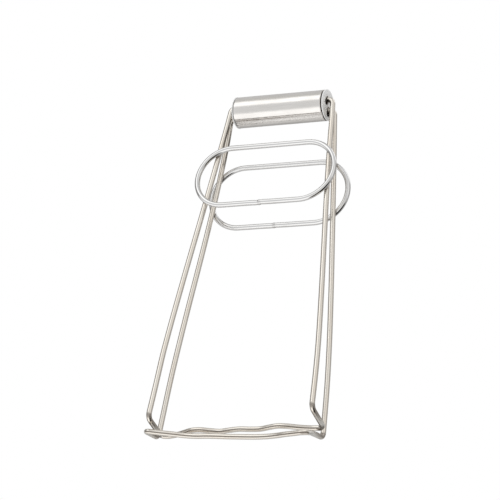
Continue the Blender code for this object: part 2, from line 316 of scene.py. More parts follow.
# ---- node helpers ------------------------------------------------------------------
class Nodes:
    """Short calls for building a shader tree."""

    def __init__(self, tree):
        self.tree = tree
        self.x = 0

    def new(self, kind, inputs=None, **props):
        node = self.tree.nodes.new(kind)
        node.location = (self.x, 0)
        self.x += 30
        for key, value in props.items():
            setattr(node, key, value)
        self.feed(node, inputs or {})
        return node

    def feed(self, node, inputs):
        """Links or sets a node's inputs."""
        for key, value in inputs.items():
            if isinstance(value, bpy.types.NodeSocket):
                self.tree.links.new(value, node.inputs[key])
            else:
                node.inputs[key].default_value = value

    def math(self, operation, *values, clamp=False):
        node = self.new("ShaderNodeMath", dict(enumerate(values)),
                        operation=operation, use_clamp=clamp)
        return node.outputs[0]

    def times(self, a, b):
        return self.math("MULTIPLY", a, b)

    def total(self, first, *others):
        """Sum of the values, clamped to 0..1 at the last one."""
        for i, value in enumerate(others):
            first = self.math("ADD", first, value, clamp=i == len(others) - 1)
        return first

    def ramp(self, value, over, to=(0.0, 1.0)):
        """Smooth change from to[0] to to[1] as the value crosses the range over."""
        inputs = dict(enumerate((value, *over, *to)))
        node = self.new("ShaderNodeMapRange", inputs, interpolation_type="SMOOTHSTEP")
        return node.outputs[0]

    def attr(self, name, output="Fac"):
        return self.new("ShaderNodeAttribute", attribute_name=name).outputs[output]

    def scale(self, vector, factors):
        inputs = {0: vector, 1: factors}
        return self.new("ShaderNodeVectorMath", inputs, operation="MULTIPLY").outputs[0]

    def noise(self, vector, detail, rough, scale=1.0, stretch=None, distortion=0.0):
        if stretch:
            vector = self.scale(vector, stretch)
        inputs = {"Scale": scale, "Detail": detail, "Roughness": rough,
                  "Distortion": distortion, "Vector": vector}
        return self.new("ShaderNodeTexNoise", inputs).outputs["Fac"]

    def tint(self, colour, towards, amount):
        node = self.new("ShaderNodeMix", data_type="RGBA", blend_type="MIX")
        node.clamp_factor = True
        self.feed(node, {0: amount, 6: colour, 7: towards})
        return node.outputs[2]

    def bump(self, height, strength, distance, normal=None):
        inputs = {"Strength": strength, "Distance": distance, "Height": height}
        if normal is not None:
            inputs["Normal"] = normal
        return self.new("ShaderNodeBump", inputs).outputs[0]


def rgb(r, g, b):
    return (r, g, b, 1.0)


def metal(name):
    """A new metallic material, with its node helper and its Principled shader."""
    ma = bpy.data.materials.new(name)
    ma.use_nodes = True
    shader = ma.node_tree.nodes["Principled BSDF"]
    shader.inputs["Metallic"].default_value = 1.0
    return ma, Nodes(ma.node_tree), shader


# ---- materials ---------------------------------------------------------------------
def wire_material(name, base, warm, rough, rough_var, line_bump, speck):
    """Drawn wire. wire_co is (cos, sin, run in mm) round and along the wire."""
    pit_brown, shade_and_grime_brown = rgb(0.30, 0.25, 0.20), rgb(0.10, 0.075, 0.055)
    rubbed_grey = rgb(0.66, 0.66, 0.64)
    # heat range, strength and colour: straw, brown, bluish towards a weld
    heat_tints = (((0.05, 0.45), 0.55, rgb(0.70, 0.58, 0.42)),
                  ((0.45, 0.8), 0.7, rgb(0.36, 0.29, 0.25)),
                  ((0.8, 1.0), 0.6, rgb(0.22, 0.23, 0.27)))
    line_shade = rgb(base[0] * 0.72, base[1] * 0.71, base[2] * 0.70)

    ma, N, shader = metal(name)
    co = N.attr("wire_co", "Vector")
    lines = N.noise(co, stretch=(9.0, 9.0, 0.05), detail=4.0, rough=0.6)     # die marks
    broad = N.noise(co, stretch=(0.7, 0.7, 0.045), detail=2.0, rough=0.5)    # slow tone
    grain = N.noise(co, stretch=(6.0, 6.0, 3.2), detail=3.0, rough=0.65)
    pits = N.noise(co, stretch=(2.6, 2.6, 1.4), detail=2.0, rough=0.5)
    col = N.tint(base, warm, N.ramp(broad, over=(0.35, 0.68)))
    col = N.tint(col, line_shade, N.times(N.ramp(lines, over=(0.42, 0.75)), 0.12))
    col = N.tint(col, pit_brown, N.times(N.ramp(pits, over=(0.66, 0.74)), speck))
    heat = N.times(N.attr("heat"), N.ramp(grain, over=(0.2, 0.7), to=(0.55, 1.0)))
    for over, strength, colour in heat_tints:
        col = N.tint(col, colour, N.ramp(heat, over=over, to=(0.0, strength)))
    # the darkening mask towards dark brown: painted shade and reflections on the frame wire, and
    # weld dirt with painted crevice shade round the welds
    shade_and_grime = N.times(N.ramp(N.attr("shade_and_grime"), over=(0.05, 0.9)),
                    N.ramp(grain, over=(0.15, 0.6), to=(0.5, 1.0)))
    # the lips are rubbed matt and a cooler grey than the drawn wire
    dull = N.attr("dull")
    col = N.tint(col, rubbed_grey, N.times(dull, 0.75))
    col = N.tint(col, shade_and_grime_brown, N.times(shade_and_grime, 0.85))
    roughness = N.ramp(broad, over=(0.3, 0.7), to=(rough, rough + rough_var))
    roughness = N.total(roughness, N.times(N.ramp(lines, over=(0.4, 0.8)), 0.05),
                        N.times(heat, 0.25), N.times(dull, 0.26), N.times(shade_and_grime, 0.30))
    normal = N.bump(lines, strength=line_bump, distance=0.00004)
    normal = N.bump(grain, strength=line_bump * 0.5, distance=0.00002, normal=normal)
    N.feed(shader, {"Base Color": col, "Roughness": roughness, "Normal": normal,
                    "Metallic": N.math("SUBTRACT", 1.0, N.times(dull, 0.45))})
    return ma


def sheet_material(name):
    """Rolled bright sheet, rubbed lengthwise. sheet_co is (cos, sin, along) with along in mm."""
    bright, soft = rgb(0.89, 0.872, 0.848), rgb(0.82, 0.797, 0.768)
    rubbed, edge_white = rgb(0.62, 0.61, 0.60), rgb(0.93, 0.93, 0.93)
    painted_shade_light, painted_shade_dark = rgb(0.46, 0.39, 0.33), rgb(0.10, 0.085, 0.07)

    ma, N, shader = metal(name)
    co = N.attr("sheet_co", "Vector")
    fine_rub = N.noise(co, stretch=(60.0, 60.0, 0.14), detail=5.0, rough=0.65)
    broad_rub = N.noise(co, stretch=(14.0, 14.0, 0.05), detail=3.0, rough=0.6)
    cloud = N.noise(co, stretch=(1.1, 1.1, 0.06), detail=3.0, rough=0.55)
    scuff = N.noise(co, stretch=(3.0, 3.0, 0.55), detail=4.0, rough=0.7, distortion=0.6)
    col = N.tint(bright, soft, N.ramp(cloud, over=(0.35, 0.7), to=(0.0, 0.6)))
    col = N.tint(col, rubbed, N.ramp(broad_rub, over=(0.45, 0.8), to=(0.0, 0.28)))
    # the darkening mask is all painted shade here: inside the tube, under the outer edge, in the
    # stepped groove and in the gaps at the caps
    shade_and_grime = N.times(N.attr("shade_and_grime"), N.ramp(scuff, over=(0.25, 0.65), to=(0.45, 1.0)))
    col = N.tint(col, painted_shade_light, N.ramp(shade_and_grime, over=(0.05, 0.5), to=(0.0, 0.55)))
    col = N.tint(col, painted_shade_dark, N.ramp(shade_and_grime, over=(0.5, 1.0), to=(0.0, 0.85)))
    col = N.tint(col, edge_white, N.times(N.attr("edge"), 0.6))
    roughness = N.total(N.ramp(cloud, over=(0.3, 0.7), to=(0.18, 0.26)),
                        N.times(N.ramp(fine_rub, over=(0.35, 0.8)), 0.08),
                        N.times(N.ramp(scuff, over=(0.6, 0.75)), 0.10),
                        N.times(shade_and_grime, 0.35))
    normal = N.bump(fine_rub, strength=0.35, distance=0.000012)
    normal = N.bump(cloud, strength=0.5, distance=0.0001, normal=normal)
    N.feed(shader, {"Base Color": col, "Roughness": roughness, "Normal": normal,
                    "Anisotropic": 0.35})
    return ma


def cap_material(name):
    """Tumbled stamping: matt, finely speckled, brighter where the edge has rubbed."""
    grey, pale = rgb(0.90, 0.91, 0.91), rgb(0.98, 0.985, 0.985)
    speckle, cloudy = rgb(0.52, 0.53, 0.53), rgb(0.72, 0.70, 0.67)
    painted_shade_light, painted_shade_dark = rgb(0.36, 0.29, 0.23), rgb(0.045, 0.036, 0.03)
    edge_white = rgb(0.97, 0.97, 0.97)

    ma, N, shader = metal(name)
    place = N.new("ShaderNodeTexCoord").outputs["Object"]
    place_mm = N.scale(place, (1000.0, 1000.0, 1000.0))
    fine = N.noise(place_mm, scale=5.5, detail=4.0, rough=0.7)
    mid = N.noise(place_mm, scale=1.1, detail=3.0, rough=0.6)
    big = N.noise(place_mm, scale=0.22, detail=2.0, rough=0.5)
    col = N.tint(grey, pale, N.ramp(fine, over=(0.3, 0.7)))
    col = N.tint(col, speckle, N.ramp(mid, over=(0.4, 0.75), to=(0.0, 0.35)))
    col = N.tint(col, cloudy, N.ramp(big, over=(0.35, 0.7), to=(0.0, 0.25)))
    # the darkening mask is all painted shade here: behind the rim, inside the boss and down the
    # slot walls
    shade_and_grime = N.times(N.attr("shade_and_grime"), N.ramp(mid, over=(0.25, 0.65), to=(0.5, 1.0)))
    col = N.tint(col, painted_shade_light, N.ramp(shade_and_grime, over=(0.05, 0.5), to=(0.0, 0.6)))
    col = N.tint(col, painted_shade_dark, N.ramp(shade_and_grime, over=(0.5, 0.9), to=(0.0, 0.96)))
    edge = N.attr("edge")
    col = N.tint(col, edge_white, N.times(edge, 0.9))
    roughness = N.ramp(fine, over=(0.3, 0.7), to=(0.40, 0.52))
    roughness = N.math("SUBTRACT", roughness, N.times(edge, 0.32))
    roughness = N.total(roughness, N.times(shade_and_grime, 0.25))
    normal = N.bump(fine, strength=0.55, distance=0.00004)
    normal = N.bump(mid, strength=0.35, distance=0.00008, normal=normal)
    N.feed(shader, {"Base Color": col, "Roughness": roughness, "Normal": normal,
                    "Metallic": N.math("SUBTRACT", 0.45, N.times(edge, 0.38))})
    return ma


# ---- frames ------------------------------------------------------------------------
@dataclass
class Tong:
    """One wire frame. Its points are given by x along the barrel, down the leg and outwards."""
    name: str
    sign: int             # -1 front, 1 rear: the frame's side along Y
    pivot: tuple          # y, z of its wire ends in the caps
    lean: float           # opening angle, degrees
    belly: float          # greatest outward bow of the legs
    twist: float          # outward shift at the foot of the right leg
    legs: tuple           # left, right: x at each of LEG_SHARES
    bends: tuple          # left, right: length down to the bend at the leg's foot
    corners: tuple        # left, right corner of lip and bar: x, down, inward
    bar: tuple            # jaw bar from left to right: x, down, inward
    ring_shift: float     # x of the ring's middle
    joint_x: float        # x of the ring's butt weld

    def __post_init__(self):
        lean = math.radians(self.lean)
        self.origin = Vector((0, *self.pivot))
        self.down = Vector((0, self.sign * math.sin(lean), -math.cos(lean)))
        self.out = Vector((0, self.sign * math.cos(lean), math.sin(lean)))

    def swell(self, t):
        t = min(1.0, max(0.0, t))
        return 6.75 * self.belly * t * (1 - t) ** 2

    def point(self, x, down, out):
        t = min(1.0, max(0.0, down / LEG))
        out = out + self.swell(t) + self.twist * t * x / LEG_HALF
        return self.origin + Vector((x, 0, 0)) + self.down * down + self.out * out

    def corner(self, side):
        x, down, inward = self.corners[side]
        return self.point(x, down, -inward)

    def bend(self, side):
        return self.point(self.legs[side][-1], self.bends[side], 0)

    def drop(self, point):
        """Height of the pivot above a point."""
        return (self.origin - point).z

    def ring_point(self, x, down):
        """A point in the ring's flat plane, outside the legs."""
        hi, lo = RING_DOWN - RING_END_R * 0.9, RING_DOWN + RING_END_R * 0.9
        swell_hi, swell_lo = self.swell(hi / LEG), self.swell(lo / LEG)
        plane = swell_hi + (swell_lo - swell_hi) * (down - hi) / (lo - hi)
        twist = self.twist * (RING_DOWN / LEG) * x / LEG_HALF
        return (self.origin + Vector((x, 0, 0)) + self.down * down
                + self.out * (RING_OUT + plane + twist))


# shares of the leg's length at which its x is given
LEG_SHARES = (0, 0.06, 0.12, 0.2, 0.3, 0.4, 0.5, 0.6, 0.7, 0.8, 0.87, 0.94, 1.0)

FRONT = Tong(
    name="front", sign=-1, pivot=FRONT_PIVOT, lean=2.4, belly=0.5, twist=0.6,
    legs=((-31.24, -32.08, -33.1, -34.52, -36.46, -38.53, -40.64,
           -42.7, -44.65, -46.35, -47.05, -47.75, -48.45),
          (31.4, 32.72, 33.64, 34.98, 36.83, 38.81, 40.84,
           42.82, 44.72, 46.45, 47.4, 48.1, 48.6)),
    bends=(196.7, 195.3),
    corners=((-47.15, 200.07, 16.3), (49.49, 199.09, 17.2)),
    bar=((-42.5, 200.26, 16.41), (-38.5, 200.4, 15.35), (-34.5, 200.52, 13.8),
         (-30.5, 200.54, 12.03), (-26, 200.43, 10.46), (-21, 200.37, 10.37),
         (-16, 200.56, 11.5), (-10, 200.74, 12.65), (-4, 200.53, 12.05), (2, 200.37, 11.63),
         (8, 200.43, 12.26), (14, 200.42, 12.51), (20, 200.11, 11.49), (25, 199.9, 10.82),
         (30, 199.92, 11.56), (35, 199.82, 13.44), (39.5, 199.58, 15.18), (43, 199.36, 16.28)),
    ring_shift=-1.1, joint_x=-1.4)

REAR = Tong(
    name="rear", sign=1, pivot=REAR_PIVOT, lean=2.75, belly=2.1, twist=1.0,
    legs=((-32.32, -33.09, -34.07, -35.51, -37.5, -39.61, -41.81,
           -43.98, -45.95, -47.75, -48.78, -49.72, -50.6),
          (31.8, 32.66, 33.62, 34.9, 36.65, 38.45, 40.36,
           42.22, 43.98, 45.45, 46.2, 46.7, 47.05)),
    bends=(195.0, 197.9),
    corners=((-50.57, 197.41, 16.6), (46.64, 200.98, 16.6)),
    bar=((-45, 197.83, 15.26), (-40, 198.16, 14.31), (-34, 198.57, 13.13),
         (-28, 198.98, 11.95), (-22, 199.28, 11.5), (-16, 199.47, 11.68), (-10, 199.7, 11.59),
         (-4, 199.98, 11.26), (2, 200.21, 11.17), (8, 200.44, 11.11), (14, 200.65, 11.2),
         (20, 200.79, 11.7), (26, 200.83, 12.79), (31, 200.81, 14.05), (36, 200.83, 15.06),
         (41, 200.85, 16.13)),
    ring_shift=1.4, joint_x=0.5)


def leg_x(xs, t):
    """x of a leg at share t of its length: smooth through its table."""
    s = LEG_SHARES
    i = max(j for j in range(len(s) - 1) if s[j] <= max(t, 0.0))

    def slope(j):
        a, b = max(j - 1, 0), min(j + 1, len(s) - 1)
        return (xs[b] - xs[a]) / (s[b] - s[a])

    h = s[i + 1] - s[i]
    u = (t - s[i]) / h
    return ((1 + 2 * u) * (1 - u) ** 2 * xs[i] + u * (1 - u) ** 2 * h * slope(i)
            + u * u * (3 - 2 * u) * xs[i + 1] + u * u * (u - 1) * h * slope(i + 1))


def frame_path(tong):
    """From the left cap down the left leg, along the jaw bar and up to the right cap."""
    halves = []
    for side, sign in ((LEFT, -1), (RIGHT, 1)):
        xs, foot = tong.legs[side], tong.bends[side]
        points = [tong.point(BARREL_X + sign * (CAP_FACE_X - PIN_IN), 0, 0),
                  tong.point(xs[0], 0, 0)]
        for k in range(41):
            t = 0.035 + 0.9 * k / 40
            points.append(tong.point(leg_x(xs, t), foot * t, 0))
        points += [tong.bend(side), tong.corner(side)]
        halves.append(points)
    radii = [0.0, TOP_BEND_R] + [0.0] * 41 + [BEND_R, CORNER_R]
    bar = curve_points([tong.point(x, down, -inward) for x, down, inward in tong.bar])
    return resample(fillet(halves[LEFT] + bar + halves[RIGHT][::-1],
                           radii + [0.0] * len(bar) + radii[::-1]), 1.6)


def ring_path(tong, segs=48):
    points = []
    for sign, start in ((1, -math.pi / 2), (-1, math.pi / 2)):
        for k in range(segs + 1):
            f = start + math.pi * k / segs
            points.append(tong.ring_point(
                tong.ring_shift + sign * RING_STRAIGHT + RING_END_R * math.cos(f),
                RING_DOWN + RING_END_R * math.sin(f)))
    return resample(points, 1.2, closed=True)


def weld_points(tong):
    """Where the ring lies over the legs: (point on leg, point on ring, ring tangent)."""
    out = []
    for side, sign in ((LEFT, -1), (RIGHT, 1)):
        for vert in (-1, 1):
            down = RING_DOWN
            for _ in range(30):
                x = leg_x(tong.legs[side], down / tong.bends[side])
                dx = sign * (x - tong.ring_shift) - RING_STRAIGHT
                down = RING_DOWN + vert * math.sqrt(max(0.0, RING_END_R * RING_END_R - dx * dx))
            f = math.atan2(down - RING_DOWN, dx)
            tangent = Vector((sign * -math.sin(f), 0, 0)) + tong.down * math.cos(f)
            out.append((tong.point(x, down, 0), tong.ring_point(x, down), tangent.normalized()))
    return out


def build_weld_bead(name, leg_point, ring_point, tangent, mat, body, rng):
    """Metal squeezed out round a spot weld: a necked, lumpy collar between the two wires."""
    segs, rows = 36, 12
    overlap = 0.75            # how far the bead runs into each wire
    close_from = 0.72         # share of its half height where the bead starts to close
    axis = (ring_point - leg_point).normalized()
    middle = (leg_point + ring_point) / 2
    across_1 = (tangent - axis * tangent.dot(axis)).normalized()
    across_2 = axis.cross(across_1)
    gap = (ring_point - leg_point).length - 2 * WIRE_R
    half_height = gap / 2 + overlap
    offset = Vector((rng.uniform(-50, 50), rng.uniform(-50, 50), rng.uniform(-50, 50)))
    verts, coords, heat, shade_and_grime = [], [], [], []
    for i in range(rows + 1):
        s = -1 + 2 * i / rows
        height = s * half_height
        neck = 1.02 + 0.42 * s * s
        close = math.sqrt(max(0.0, 1 - max(0.0, (abs(s) - close_from) / (1 - close_from)) ** 2))
        for k in range(segs):
            f = 2 * math.pi * k / segs
            p = Vector((math.cos(f), math.sin(f), s * 1.3))
            lump = (1 + 0.13 * noise.noise(p * 1.4 + offset)
                    + 0.05 * noise.noise(p * 4.0 + offset))
            radius = neck * lump * (0.25 + 0.75 * close)
            outward = across_1 * math.cos(f) + across_2 * math.sin(f)
            verts.append(middle + axis * height + outward * radius)
            coords.append((math.cos(f), math.sin(f), height * 1.5))
            heat.append(0.75 + 0.25 * noise.noise(p * 3 + offset))
            # darker round the neck between the wires: weld dirt with painted crevice shade
            shade_and_grime.append(max(0.0, 0.75 - abs(height)) * 0.6)
    faces = ring_quads(rows + 1, segs) + end_faces(rows + 1, segs)
    add_piece(name, verts, faces, mat, body,
              {"wire_co": coords, "heat": heat, "shade_and_grime": shade_and_grime}, sharp_deg=80.0)


# ---- painted shade and reflections on the frame wire: each 0 (none) to 1 (black) ---
def turn_from(view, along, normal, axis):
    """Degrees round the wire from the view side, positive towards the axis's minus side."""
    side = view.cross(along)
    if side[axis] > 0:
        side = -side
    return math.degrees(math.atan2(normal.dot(side), normal.dot(view)))


def jaw_shade(tong, point, normal, along, ends):
    """Painted shade and reflection: dark lines along the jaw bar and the lips, placed by turn from
    the seen side.
    """
    view = VIEW_SIDE - along * along.dot(VIEW_SIDE)
    if view.length <= 0.2:
        return 0.0
    view.normalize()
    # the bar: a painted reflection line along its lower front and fainter blotchy painted shade on
    # its underside
    turn = turn_from(view, along, normal, axis=2)
    blot = 0.5 + 0.5 * noise.noise(Vector((point.x * 0.11, tong.sign * 7.0, 0.3)))
    on_bar = rise(abs(along.x), start=0.75, over=0.15)
    outer = 0.25 + 0.75 * rise(abs(point.x), start=6, over=24)
    line = band(turn, lo=-17, hi=8, soft=8) * (0.80 + 0.14 * outer + 0.06 * blot)
    underside = band(turn, lo=10, hi=62, soft=16) * (0.06 + 0.14 * outer * blot)
    mark = on_bar * max(line, underside, 0.10)
    if tong is REAR:
        # a broad painted shade patch where the bar turns into the right lip
        mark = max(mark, 0.85 * band(point.x - ends[RIGHT].x, lo=-5.0, hi=-0.5, soft=2.0)
                   * band(turn, lo=-24, hi=24, soft=12))
    # the lips: a thin painted shade line along the left edge, wider towards the corner
    on_lip = rise(abs(along.y), start=0.55, over=0.2)
    turn = turn_from(view, along, normal, axis=0)
    reach = min((point - end).length for end in ends)
    line = band(turn, lo=44 - 22 * fall(reach, start=0, over=8), hi=84, soft=14)
    return max(mark, on_lip * (0.06 + (0.88 if tong is FRONT else 0.18) * line))


def corner_shade(tong, point, normal, ends):
    """Painted shade in the insides of the lip corners, and a painted shade patch at the right one.
    """
    mark = 0.0
    for side, sign in ((LEFT, -1), (RIGHT, 1)):
        reach = (point - ends[side]).length
        strength = 0.45 if side == RIGHT and tong is REAR else 0.92
        inside = smooth01(0.2 - normal.dot(Vector((sign, 0, -0.3))) * 0.9)
        mark = max(mark, strength * fall(reach, start=2.2, over=3.2) * inside)
    if reach < 7:
        if tong is FRONT:
            patch = 0.80 * fall(reach, start=2.2, over=3.0) * smooth01(-0.15 - normal.z * 1.5)
        else:
            patch = 0.22 * fall(reach, start=1.6, over=4.0) * smooth01(normal.z * 1.4 + 0.2)
        mark = max(mark, patch)
    return mark


def bend_shade(tong, point, normal, bends):
    """Painted shade and reflection: a dark band round each lower bend and a patch on its
    right-hand side.
    """
    mark = 0.0
    for bend in bends:
        below = tong.drop(point) - tong.drop(bend)
        if abs(point.x - bend.x) < 5 and -9 < below < 4:
            facing = rise(normal.dot(Vector((0.93, 0.1, 0.35))), start=0.25, over=0.5)
            mark = max(mark, 0.62 * band(below, lo=-2.4, hi=0.6, soft=1.8),
                       0.58 * band(below, lo=-2.0, hi=3.0, soft=3.0) * facing)
    return mark


def leg_shade(tong, point, normal):
    """Painted shade and reflection: dark lines down the inner sides of the legs, strongest near
    the top.
    """
    drop = tong.drop(point)
    if point.x > 0 and 4 < drop < 190:
        facing = rise(normal.dot(Vector((-0.93, -0.36, 0))), start=0.72, over=0.25)
        return (0.30 + 0.30 * band(drop, lo=2, hi=40, soft=20)) * facing
    if point.x < 0 and 6 < drop < 46:
        facing = rise(normal.dot(Vector((0.98, 0.17, 0))), start=0.35, over=0.4)
        return 0.78 * band(drop, lo=9, hi=30, soft=14) * facing
    return 0.0


# painted shade and reflections on the frame wire, from its corners, bends, legs and jaw
def painted_shade_marks(tong, point, normal, along, ends, bends):
    mark = max(corner_shade(tong, point, normal, ends),
               bend_shade(tong, point, normal, bends),
               leg_shade(tong, point, normal))
    if tong.drop(point) > 185:
        mark = max(mark, jaw_shade(tong, point, normal, along, ends))
    return min(mark, 1.0)


def lip_rub(tong, point, along, ends, bends):
    """How matt the wire is: the lips, and all round the rear frame's right corner."""
    below = tong.drop(point) - tong.drop(bends[RIGHT if point.x > 0 else LEFT])
    matt = rise(abs(along.y), start=0.42, over=0.2) * rise(below, start=1.5, over=3.0)
    if tong is REAR and below > 1.5:
        matt = max(matt, smooth01((point.x - ends[RIGHT].x - 0.5) / 2.0))
    return matt


# ---- the pieces of one frame -------------------------------------------------------
def build_frame_wire(tong, touch, mat):
    pins = [tong.point(BARREL_X + sign * (CAP_FACE_X - CAP_T), 0, 0) for sign in (-1, 1)]
    ends = [tong.corner(side) for side in (LEFT, RIGHT)]
    bends = [tong.bend(side) for side in (LEFT, RIGHT)]
    verts, faces, coords, directions = tube(frame_path(tong))
    heat, shade_and_grime, dull = [], [], []
    for point, (normal, along) in zip(verts, directions):
        heat.append(near(touch, point, full=1.2, gone=4.2) * 0.8)
        # darkening: weld dirt with painted crevice shade round the welds, painted shade where the
        # wire leaves the cap slot, and the painted shade marks
        shade_and_grime.append(max(near(touch, point, full=0.9, gone=2.1),
                         0.42 * near(pins, point, full=1.5, gone=2.6),
                         painted_shade_marks(tong, point, normal, along, ends, bends)))
        dull.append(lip_rub(tong, point, along, ends, bends))
    add_piece(f"{tong.name}_wire", verts, faces, mat, f"{tong.name}_tong",
              {"wire_co": coords, "heat": heat, "shade_and_grime": shade_and_grime, "dull": dull},
              sharp_deg=60.0, replaces=(f"{tong.name}_frame",))


def jointed_ring_path(tong, joint):
    """The ring's path, its ends meeting a little out of line, with finer steps there."""
    misfit = tong.down * -0.22 + tong.out * 0.10
    moved = []
    for point in ring_path(tong):
        dx = (point - joint).x
        if (point - joint).length < 9:
            point = (point + misfit * (math.tanh(dx / 0.5) * 0.5)
                     * fall(abs(dx), start=1.0, over=7.0))
        moved.append(point)
    path = []
    for i, a in enumerate(moved):
        b = moved[(i + 1) % len(moved)]
        k = 6 if min((a - joint).length, (b - joint).length) < 3.5 else 1
        path.extend(a.lerp(b, j / k) for j in range(k))
    return path


def build_finger_ring(tong, touch, mat):
    joint = tong.ring_point(tong.joint_x, RING_DOWN + RING_END_R)
    path = jointed_ring_path(tong, joint)
    joint_run = run_lengths(path)[min(range(len(path)), key=lambda i: (path[i] - joint).length)]

    def radius(f, run):
        """A low bead at the butt weld, with a slight hollow on each side of it."""
        away = run - joint_run
        ripple = noise.noise(Vector((math.cos(f) * 2, math.sin(f) * 2, away)))
        lump = 0.14 * bell(away, 0.55) * (0.8 + 0.4 * ripple)
        hollow = -0.05 * bell(abs(away) - 1.3, 0.5)
        return WIRE_R + lump + hollow

    verts, faces, coords, _ = tube(path, closed=True, radius_at=radius)
    heat = [max(near(touch, v, full=1.2, gone=4.2) * 0.8,
                0.45 * near([joint], v, full=1.6, gone=4.5)) for v in verts]
    # darkening: weld dirt with painted crevice shade round the welds, and the dark butt joint
    shade_and_grime = [max(near(touch, v, full=0.9, gone=2.1),
                 0.35 * near([joint], v, full=1.5, gone=2.2)) for v in verts]
    add_piece(f"{tong.name}_finger_ring", verts, faces, mat, f"{tong.name}_tong",
              {"wire_co": coords, "heat": heat, "shade_and_grime": shade_and_grime},
              sharp_deg=60.0, replaces=(f"{tong.name}_ring",))


def build_tong(tong, wire_mat, ring_mat, bead_mat, rng):
    welds = weld_points(tong)
    touch = [(on_leg + on_ring) / 2 for on_leg, on_ring, _ in welds]
    build_frame_wire(tong, touch, wire_mat)
    build_finger_ring(tong, touch, ring_mat)
    for i, weld in enumerate(welds):
        build_weld_bead(f"{tong.name}_weld_{i + 1}", *weld, bead_mat, f"{tong.name}_tong", rng)


# ---- barrel ------------------------------------------------------------------------
def barrel_turns():
    """Degrees along the rolled sheet from its outer edge, closer together at the step."""
    total = 360.0 + LAP_UNDER_DEG
    turns = [0.0, 0.5, 1.2]
    turn = 2.5
    while turn < total - 1e-6:
        turns.append(turn)
        turn += 1.0 if 320 < turn < 360 else 2.5
    return turns + [total]


def barrel_stations(x_left, x_right, spans=60, wear=0.12):
    """(x, inset of the skins) along the barrel, with extra rows for the worn ends."""
    worn = [(0.0, 0.9), (0.3, 0.3), (1.0, 0.0)]          # shares of wear: along, inset
    return ([(x_left + wear * along, wear * inset) for along, inset in worn]
            + [(x_left + (x_right - x_left) * k / spans, 0.0) for k in range(1, spans)]
            + [(x_right - wear * along, wear * inset) for along, inset in worn[::-1]])


def barrel_section(x, share, inset, turns):
    """Closed outline of the sheet at x: (radius, angle, turn, is outer skin)."""
    edge_round = 0.10
    step_start = JOGGLE_DEG[0] + 3.0 * smooth01(share)
    step_end = JOGGLE_DEG[1] - 2.0 * (1 - share)
    outer, inner = [], []
    for turn in turns:
        step = smooth01((turn - step_start) / (step_end - step_start))
        a = math.radians(LAP_EDGE_DEG - turn)
        # the sheet isn't quite round or flat
        dent = (0.035 * noise.noise(Vector((x * 0.07, math.cos(a) * 0.8, math.sin(a) * 0.8)))
                + 0.008 * noise.noise(Vector((x * 0.3, math.cos(a) * 3, math.sin(a) * 3 + 9))))
        radius = BARREL_R - step * (SHEET_T + LAP_GAP) + min(0.0, dent - 0.015)
        outer.append((radius - (inset if turn else edge_round), a, turn, True))
        inner.append((radius - SHEET_T + inset, a, turn, False))
    # each edge of the sheet is rounded by one more vertex at mid thickness
    bulge = edge_round / BARREL_R
    first = ((outer[0][0] + inner[0][0]) / 2, outer[0][1] + bulge, turns[0], True)
    last = ((outer[-1][0] + inner[-1][0]) / 2, outer[-1][1] - bulge, turns[-1], False)
    return [first] + outer + [last] + inner[::-1]


# painted shade on the sheet: the inner skin inside the tube, under the outer edge, the stepped
# groove and the gaps at the caps, strong at the right end and faint at the left
def barrel_shade(x, share, from_end, turn, is_outer):
    shade_and_grime = 0.55
    if is_outer:
        # painted shadow at the outer edge's foot and painted shade in the groove where the sheet
        # has stepped in; the inner turn under the edge is painted fully dark
        foot = bell(max(0.0, 356.9 - turn), 1.2) if turn > 352 else 0.0
        groove = (0.72 * fall(share, start=0.25, over=0.6) + 0.28) * bell(turn - 350.3, 2.4)
        shade_and_grime = 1.0 if turn > 361 else max(foot, groove)
    return min(1.0, max(shade_and_grime, (1.0 if x > 0 else 0.12) * bell(from_end, 0.14)))


def build_barrel(mat):
    turns = barrel_turns()
    x_left, x_right = SLEEVE_ENDS
    stations = barrel_stations(x_left, x_right)
    verts, coords, shade_and_grime, edge = [], [], [], []
    for x, inset in stations:
        share = (x - x_left) / (x_right - x_left)
        from_end = min(x - x_left, x_right - x)
        for radius, a, turn, is_outer in barrel_section(x, share, inset, turns):
            verts.append(Vector((BARREL_X + x, radius * math.cos(a), radius * math.sin(a))))
            coords.append((math.cos(a), math.sin(a), x))
            shade_and_grime.append(barrel_shade(x, share, from_end, turn, is_outer))
            rubbed = max(bell(turn, 0.5), 0.9 * bell(from_end - 0.55, 0.35))
            edge.append(rubbed if is_outer else 0.0)
    m = len(turns)
    n = 2 * m + 2                     # vertices round one section
    faces = ring_quads(len(stations), n)
    # end faces of the sheet: strips between the outer and inner skins
    outer = list(range(1, m + 1))
    inner = [n - 1 - k for k in range(m)]
    strip = [(outer[k], outer[k + 1], inner[k + 1], inner[k]) for k in range(m - 1)]
    strip += [(0, outer[0], inner[0]), (outer[-1], m + 1, inner[-1])]
    for base in (0, (len(stations) - 1) * n):
        faces += [tuple(base + i for i in face) for face in strip]
    add_piece("barrel_sheet", verts, faces, mat, "handle",
              {"sheet_co": coords, "shade_and_grime": shade_and_grime, "edge": edge},
              sharp_deg=30.0, replaces=("handle_barrel",))


# ---- caps --------------------------------------------------------------------------
def obround(p, q, radius, segs=14):
    heading = math.atan2(q[1] - p[1], q[0] - p[0])
    points = []
    for centre, start in ((q, -90.0), (p, 90.0)):
        for k in range(segs + 1):
            a = heading + math.radians(start + 180.0 * k / segs)
            points.append((centre[0] + radius * math.cos(a), centre[1] + radius * math.sin(a)))
    return points


